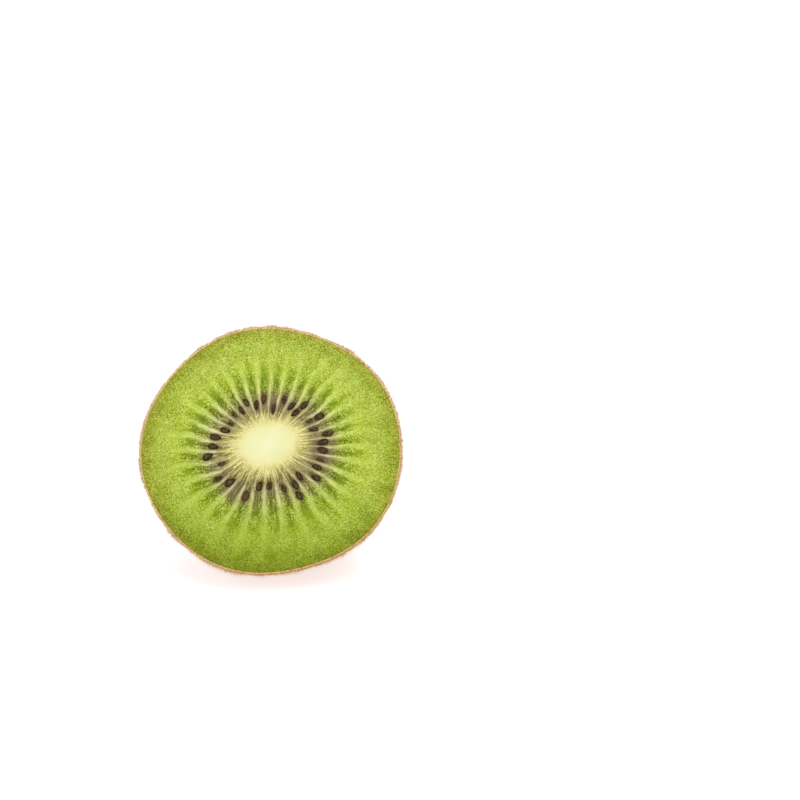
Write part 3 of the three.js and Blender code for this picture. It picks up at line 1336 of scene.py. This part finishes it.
class HairKind(Enum):
    """The sorts of hair: bristles, down and cut-edge fringe in two shades, and a tuft round the cup."""

    BRISTLES = HairSort(9056, 9000, (0.6, 1.1), 0.03, (0.5, 1.1), 0.5, tone(255, 204, 168))
    PALE_DOWN = HairSort(38063, 38000, (0.35, 0.7), 0.036, (0.6, 1.1), 0.4, tone(255, 216, 184))
    RUSTY_DOWN = HairSort(44070, 44000, (0.3, 0.6), 0.036, (0.7, 1.15), 0.6, tone(196, 118, 82))
    PALE_FRINGE = HairSort(
        3477, 3400, (0.3, 1.4), 0.03, (0.1, 0.9), 3.0, tone(255, 216, 160), HairPlace.CUT_EDGE
    )
    RUSTY_FRINGE = HairSort(
        3084, 3000, (0.3, 1.0), 0.032, (0.1, 0.9), 3.0, tone(188, 120, 72), HairPlace.CUT_EDGE
    )
    CUP_TUFT = HairSort(
        1556, 1500, (0.7, 1.6), 0.032, (0.05, 0.9), 3.0, tone(178, 108, 66), HairPlace.FLOWER_CUP
    )


@dataclass
class Hair:
    """One sort of short hair, combed towards the flower end. Long hairs are bent, and down is straight."""

    peel: Peel
    kind: HairKind
    edge_start: float = 0.002
    edge_width: float = 0.014
    cup_start: float = 0.97
    cup_width: float = 0.055
    profile_points: int = 400
    root_jitter: float = 0.02
    swirl: Layers = ((2.2, 0.07, 71),)
    patches: Layers = ((0.45, 0.5, 72),)
    worn_length: float = 0.4
    worn_until: Range = (0.02, 0.35)
    girths: Range = (0.75, 1.25)
    root_depth: float = 0.06
    straight_up_to: float = 0.7
    bends: Range = (0.2, 0.7)
    knee: float = 0.55
    knee_girth: float = 0.75
    clearance: float = 0.02

    def roots(self, rng: np.random.Generator, count: int) -> Pair:
        """Spread the roots evenly over the skin, along its cut edge or round the flower cup.

        Args:
            rng: The source of random draws.
            count: How many roots there are.

        Returns:
            Their turns about the axis and how far down they sit.
        """
        number = np.arange(count)
        place = self.kind.value.place
        if place is HairPlace.CUT_EDGE:
            turn = (number + rng.uniform(-0.5, 0.5, count)) * FULL_TURN / count
            return turn, self.edge_start + self.edge_width * rng.uniform(0.0, 1.0, count) ** 2
        if place is HairPlace.FLOWER_CUP:
            away = self.cup_width * rng.uniform(0.0, 1.0, count) ** 1.3
            return number * GOLDEN_TURN, QUARTER_TURN * (self.cup_start - away)
        down = np.linspace(0.0, QUARTER_TURN, self.profile_points)
        profile, _ = self.peel.form.barrel(0.0 * down, down)
        strip = np.linalg.norm(np.diff(profile, axis=0), axis=1) * 0.5 * (profile[1:, 0] + profile[:-1, 0])
        area = np.concatenate([[0.0], np.cumsum(strip)])
        wanted = (number + rng.uniform(0.0, 1.0, count)) / count * area[-1]
        turn = number * GOLDEN_TURN + rng.normal(0.0, self.root_jitter, count)
        return turn, np.interp(wanted, area, down)

    def build(self) -> Piece:
        """Build and dress the hair.

        Returns:
            The piece.
        """
        sort, name = self.kind.value, self.kind.name.lower()
        rng = np.random.default_rng(sort.seed)
        turn, down = self.roots(rng, sort.count)
        root, out = self.peel.outside(turn, down)
        side = unit(np.cross(out, [0.0, 0.0, 1.0]))
        heading = noise_sum(root, self.swirl) - QUARTER_TURN + rng.normal(0.0, sort.stray, sort.count)
        lay = swing(side, np.cross(side, out), heading)
        tilt = rng.uniform(*sort.tilts, sort.count)
        length = rng.uniform(*sort.lengths, sort.count) * (1.0 + noise_sum(root, self.patches))
        if sort.place is not HairPlace.CUT_EDGE:
            grown = smooth_step(down, *self.worn_until)
            length = length * (self.worn_length + (1.0 - self.worn_length) * grown)
        length = length[:, None]
        thick = sort.radius * rng.uniform(*self.girths, sort.count)[:, None]
        first = unit(swing(out, lay, tilt))
        across = unit(np.cross(first, out) + 1e-6)
        root = root - out * self.root_depth
        hoop = [swing(across, np.cross(first, across), spin) for spin in turns(3)]
        foot = [root + shift * thick for shift in hoop]
        if sort.lengths[1] > self.straight_up_to:
            second = unit(swing(out, lay, tilt + rng.uniform(*self.bends, sort.count)))
            knee = root + first * (self.knee * length)
            tip = knee + second * ((1.0 - self.knee) * length)
            foot += [knee + shift * (self.knee_girth * thick) for shift in hoop]
            skin = [[0, 1, 4, 3], [1, 2, 5, 4], [2, 0, 3, 5], [3, 4, 6], [4, 5, 6], [5, 3, 6], [2, 1, 0]]
        else:
            tip = root + first * length
            skin = [[0, 1, 3], [1, 2, 3], [2, 0, 3], [2, 1, 0]]
        points = np.stack([*foot, tip], axis=1)
        base = points.shape[1] * np.arange(sort.count)[:, None]
        faces = [row for face in skin for row in (base + np.array(face)).tolist()]
        piece = mesh_object(name, self.peel.form.stand(points.reshape(-1, 3), self.clearance), faces)
        return place_piece(piece, HairFinish("dry_" + name, sort.colour).make())


@dataclass
class FlowerCup:
    """The dried flower cup at the far end: a woody stub, curled papery flaps and dry threads."""

    form: FruitForm
    stub_radius: float = 2.2
    stub_height: float = 1.9
    stub_sides: int = 40
    stub_profile: tuple[Range, ...] = (
        (0.3, 0.72), (0.6, 0.82), (0.78, 1.0), (0.86, 0.95),
        (0.95, 0.6), (1.0, 0.2), (1.0, -0.4), (0.6, -0.5),
    )
    stub_ends: Range = (0.7, -0.5)
    stub_roughness: Layers = ((0.12, 1.1, 51), (0.1, 2.6, 52))
    flaps: int = 6
    flap_start: float = 0.8
    flap_reach: float = 4.7
    flap_width: float = 4.8
    flap_curl: float = 2.2
    flap_thickness: float = 0.16
    flap_grid: tuple[int, int] = (34, 30)
    flap_age: float = 0.12
    stub_age: float = 0.9
    hub_age: float = 0.8
    hub_edge: Range = (1.8, 3.4)
    threads: int = 90
    thread_length: float = 1.3
    thread_base: float = 0.55
    thread_girths: Range = (0.08, 0.03)
    thread_end: float = 0.05
    thread_sides: int = 5
    thread_rings: int = 7
    seed: int = 61

    def flap(self, number: int) -> Shape:
        """Shape one flap as a closed curled sheet.

        Args:
            number: Which flap it is.

        Returns:
            Its points about the far end and its faces.
        """
        rows, columns = self.flap_grid
        reach = self.flap_reach * (1.0 + 0.2 * draw(number, 0.618, 0.2)) - self.flap_start
        curl = self.flap_curl * (1.0 + 0.45 * draw(number, 0.414, 0.6))
        steps = np.linspace(0.0, 1.0, rows), np.linspace(-1.0, 1.0, columns)
        along, across = np.meshgrid(*steps, indexing="ij")
        ragged = soft_noise(points_of(along * 3.0, np.sign(across), 0.0), 2.0, number)
        torn = np.abs(soft_noise(points_of(across * 2.6, 0.0, 0.0), 1.1, 20 + number))
        torn = torn + 0.4 * np.abs(soft_noise(points_of(across * 7.0, along, 0.0), 1.3, 25 + number))
        width = 0.5 * self.flap_width * (0.62 + along - 1.2 * along**3) * (1.0 + 0.3 * ragged * along)
        out = self.flap_start + reach * along * (1.08 - 0.06 * across**2 - 0.42 * torn * along)
        lift = 0.25 + curl * along**2 + 0.9 * across**2 * along * draw(number, 0.279, 0.7)
        sheet = points_of(out, across * width, lift)
        crease = noise_sum(sheet, ((0.45, 0.7, 30 + number), (0.2, 1.8, 40 + number)))
        sheet[..., 2] += crease * smooth_step(along, 0.0, 0.3)
        under = sheet - points_of(0.0, 0.0, self.flap_thickness * (1.0 - 0.6 * along))
        points = np.concatenate([sheet, under]).reshape(-1, 3) * [1.0, 1.0, -1.0]
        turn = (number + 0.3 * draw(number, 0.732, 0.15)) * FULL_TURN / self.flaps
        grid = np.arange(rows * columns).reshape(rows, columns)
        top = np.stack([grid[:-1, :-1], grid[:-1, 1:], grid[1:, 1:], grid[1:, :-1]], axis=-1).reshape(-1, 4)
        loop = np.concatenate([grid[0, :], grid[1:, -1], grid[-1, -2::-1], grid[-2:0:-1, 0]])
        after = np.roll(loop, -1)
        wall = np.stack([after, loop, loop + grid.size, after + grid.size], axis=-1)
        faces = np.concatenate([top, top[:, ::-1] + grid.size, wall])
        return turned_about_z(points, turn), faces.tolist()

    def stub(self) -> Shape:
        """Shape the woody stub, hollowed a little at its end.

        Returns:
            Its points about the far end and its faces.
        """
        radius, height = np.array(self.stub_profile).T
        rings = lathe(radius * self.stub_radius, -height * self.stub_height, self.stub_sides)
        rings *= 1.0 + noise_sum(rings, self.stub_roughness)[..., None]
        ends = [[[0.0, 0.0, -height * self.stub_height]] for height in self.stub_ends]
        points = np.concatenate([ends[0], rings.reshape(-1, 3), ends[1]])
        return points, [face[::-1] for face in ring_faces(len(rings), self.stub_sides)]

    def thread(self, number: int, rng: np.random.Generator) -> Shape:
        """Shape one dry thread of the tuft on the stub, thin and bent. The first is the longest.

        Args:
            number: Which thread it is.
            rng: The source of random draws.

        Returns:
            Its points about the far end and its faces.
        """
        turn = number * GOLDEN_TURN
        share = math.sqrt((number + 1.0) / self.threads)
        aside = np.array([math.cos(turn), math.sin(turn), 0.0]) * share
        start = aside * self.stub_radius - [0.0, 0.0, self.thread_base * self.stub_height]
        away = unit(aside - [0.0, 0.0, rng.uniform(0.3, 1.6)])
        bend = rng.normal(0.0, 0.35, 3)
        length = self.thread_length * (2.0 if number == 0 else rng.uniform(0.4, 1.2))
        step = np.linspace(0.0, 1.0, self.thread_rings)[:, None]
        spine = start + away * length * step + bend * step**2
        side = unit(np.cross(away, [0.0, 0.0, 1.0]))
        hoop = swing(side, np.cross(away, side), turns(self.thread_sides))
        thick, thin = self.thread_girths
        girth = (thick + (thin - thick) * step)[..., None]
        tube = (spine[:, None, :] + girth * hoop).reshape(-1, 3)
        end = self.thread_end * away
        points = np.concatenate([spine[:1] - end, tube, spine[-1:] + end])
        return points, ring_faces(self.thread_rings, self.thread_sides)

    def build(self) -> Piece:
        """Build and dress the flower cup.

        Returns:
            The piece.
        """
        rng = np.random.default_rng(self.seed)
        aged = [(self.flap(number), self.flap_age) for number in range(self.flaps)]
        aged.append((self.stub(), self.stub_age))
        aged += [(self.thread(number, rng), rng.uniform(0.45, 1.0)) for number in range(self.threads)]
        points, faces = join([shape for shape, _ in aged])
        years = np.concatenate([np.full(len(shape[0]), age) for shape, age in aged])
        hub = 1.0 - smooth_step(np.linalg.norm(points[:, :2], axis=1), *self.hub_edge)
        piece = mesh_object("flower_cup", self.form.stand(points - [0.0, 0.0, self.form.length]), faces)
        store(piece, "age", np.maximum(years, self.hub_age * hub))
        return place_piece(piece, CupFinish().make())


@dataclass(frozen=True)
class SoftLight:
    """A square soft light: its place and side in metres and its power in watts."""

    name: str
    place: tuple[float, float, float]
    side: float
    power: float


@dataclass
class Studio:
    """The pale floor, the soft lights and the camera. Floor and lights are in metres."""

    form: FruitForm
    elevation: float = math.radians(20.0)
    lens: float = 120.0
    sensor: float = 36.0
    distance: float = 522.0
    aim_right: float = 25.23
    aim_up: float = 9.91
    floor_half: float = 3.0
    sky_strength: float = 0.42
    lit_spot: tuple[float, float, float] = (0.0, 0.0, 0.02)
    lights: tuple[SoftLight, ...] = (
        SoftLight("key", (0.06, -0.12, 0.28), 0.24, 0.52),
        SoftLight("fill", (-0.7, -0.5, 0.45), 0.7, 1.6),
        SoftLight("back", (0.1, 0.55, 0.75), 0.6, 3.6),
    )

    def build(self) -> None:
        """Set up floor, lights, sky and camera."""
        corners = np.array([[-1.0, -1.0, 0.0], [1.0, -1.0, 0.0], [1.0, 1.0, 0.0], [-1.0, 1.0, 0.0]])
        floor = mesh_object("floor", corners * self.floor_half, [[0, 1, 2, 3]], smooth=False)
        floor.data.materials.append(FloorFinish().make())
        for light in self.lights:
            self.hang(light)
        self.sky()
        self.camera()
        bpy.context.scene.view_settings.view_transform = "Standard"

    def hang(self, light: SoftLight) -> None:
        """Hang a light so that it faces the fruit.

        Args:
            light: The light.
        """
        lamp = bpy.data.lights.new(light.name, "AREA")
        lamp.size = light.side
        lamp.energy = light.power
        holder = bpy.data.objects.new(light.name, lamp)
        holder.location = light.place
        towards = Vector(self.lit_spot) - Vector(light.place)
        holder.rotation_euler = towards.to_track_quat("-Z", "Y").to_euler()
        bpy.context.scene.collection.objects.link(holder)

    def sky(self) -> None:
        """Surround the scene with even white light."""
        world = bpy.data.worlds.new("white_room")
        world.use_nodes = True
        background = world.node_tree.nodes["Background"]
        background.inputs["Color"].default_value = (1.0, 1.0, 1.0, 1.0)
        background.inputs["Strength"].default_value = self.sky_strength
        bpy.context.scene.world = world

    def camera(self) -> None:
        """Set the camera so that the cut face's middle stands left of and below the picture's middle."""
        lens = bpy.data.cameras.new("camera")
        lens.lens = self.lens
        lens.sensor_width = self.sensor
        camera = bpy.data.objects.new("camera", lens)
        back = Vector((0.0, -math.cos(self.elevation), math.sin(self.elevation)))
        right = Vector((1.0, 0.0, 0.0))
        target = Vector(self.form.face_middle) + right * self.aim_right + back.cross(right) * self.aim_up
        camera.location = (target + back * self.distance) * MM
        camera.rotation_euler = (-back).to_track_quat("-Z", "Y").to_euler()
        bpy.context.scene.collection.objects.link(camera)
        bpy.context.scene.camera = camera


def main() -> None:
    """Build the fruit half and its studio."""
    logging.basicConfig(level=logging.INFO, format="%(name)s: %(message)s")
    form = FruitForm()
    face = CutFace(form, Locules(form))
    peel = Peel(form)
    hair = [Hair(peel, kind) for kind in HairKind]
    for part in (Flesh(face), Seeds(face), peel, *hair, FlowerCup(form)):
        piece = part.build()
        mesh = piece.data
        LOG.info("%s: %d points, %d faces", piece.name, len(mesh.vertices), len(mesh.polygons))
    Studio(form).build()


if __name__ == "__main__":
    main()
